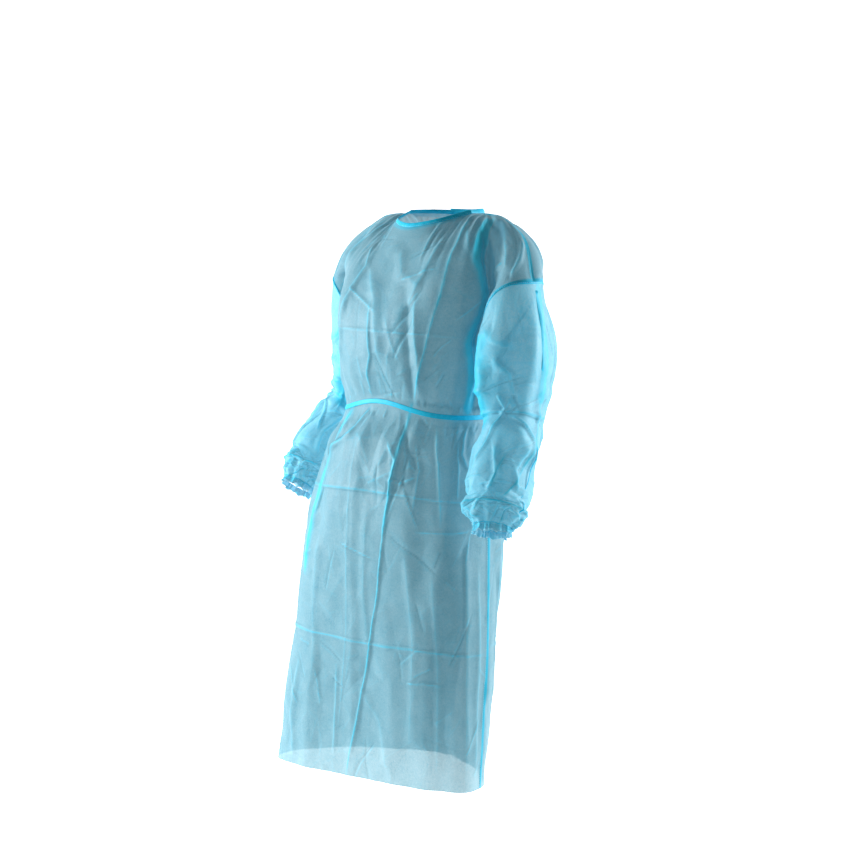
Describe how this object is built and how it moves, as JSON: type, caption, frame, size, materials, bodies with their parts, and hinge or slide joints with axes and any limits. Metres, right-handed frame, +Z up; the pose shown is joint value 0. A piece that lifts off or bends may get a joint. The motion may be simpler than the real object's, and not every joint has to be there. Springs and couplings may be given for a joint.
{
  "type": "disposable gown",
  "caption": "Hollow disposable gown in its worn shape: long sleeves with gathered cuffs, a bound round neck and a waist belt, tied and lapped at the back.",
  "frame": {"origin": "middle of the neck opening, level with the high points of the shoulders, where the wearer's shoulders hold the gown up", "axes": "+Z up, -Y the way the front faces, +X to the wearer's left"},
  "size_m": [0.6713, 0.3581, 1.0919],
  "materials": {
    "gown_cloth": "thin see-through spun-bonded non-woven, soft sheen",
    "gown_tape": "folded strip of the same non-woven, soft sheen",
    "cuff_casing": "gathered non-woven casing over thin elastic"
  },
  "bodies": {
    "root": {"front_panel": "gown_cloth", "back_left_panel": "gown_cloth", "back_right_panel": "gown_cloth", "sleeve_left": "gown_cloth", "sleeve_right": "gown_cloth", "cuff_left": "cuff_casing", "cuff_right": "cuff_casing", "armhole_seam_left": "gown_tape", "armhole_seam_right": "gown_tape", "sleeve_seam_left": "gown_tape", "sleeve_seam_right": "gown_tape", "neck_binding": "gown_tape", "waist_belt": "gown_tape", "nape_knot": "gown_tape", "nape_tail_left": "gown_tape", "nape_tail_right": "gown_tape", "belt_knot": "gown_tape", "belt_tail_left": "gown_tape", "belt_tail_right": "gown_tape"}
  },
  "joints": []
}
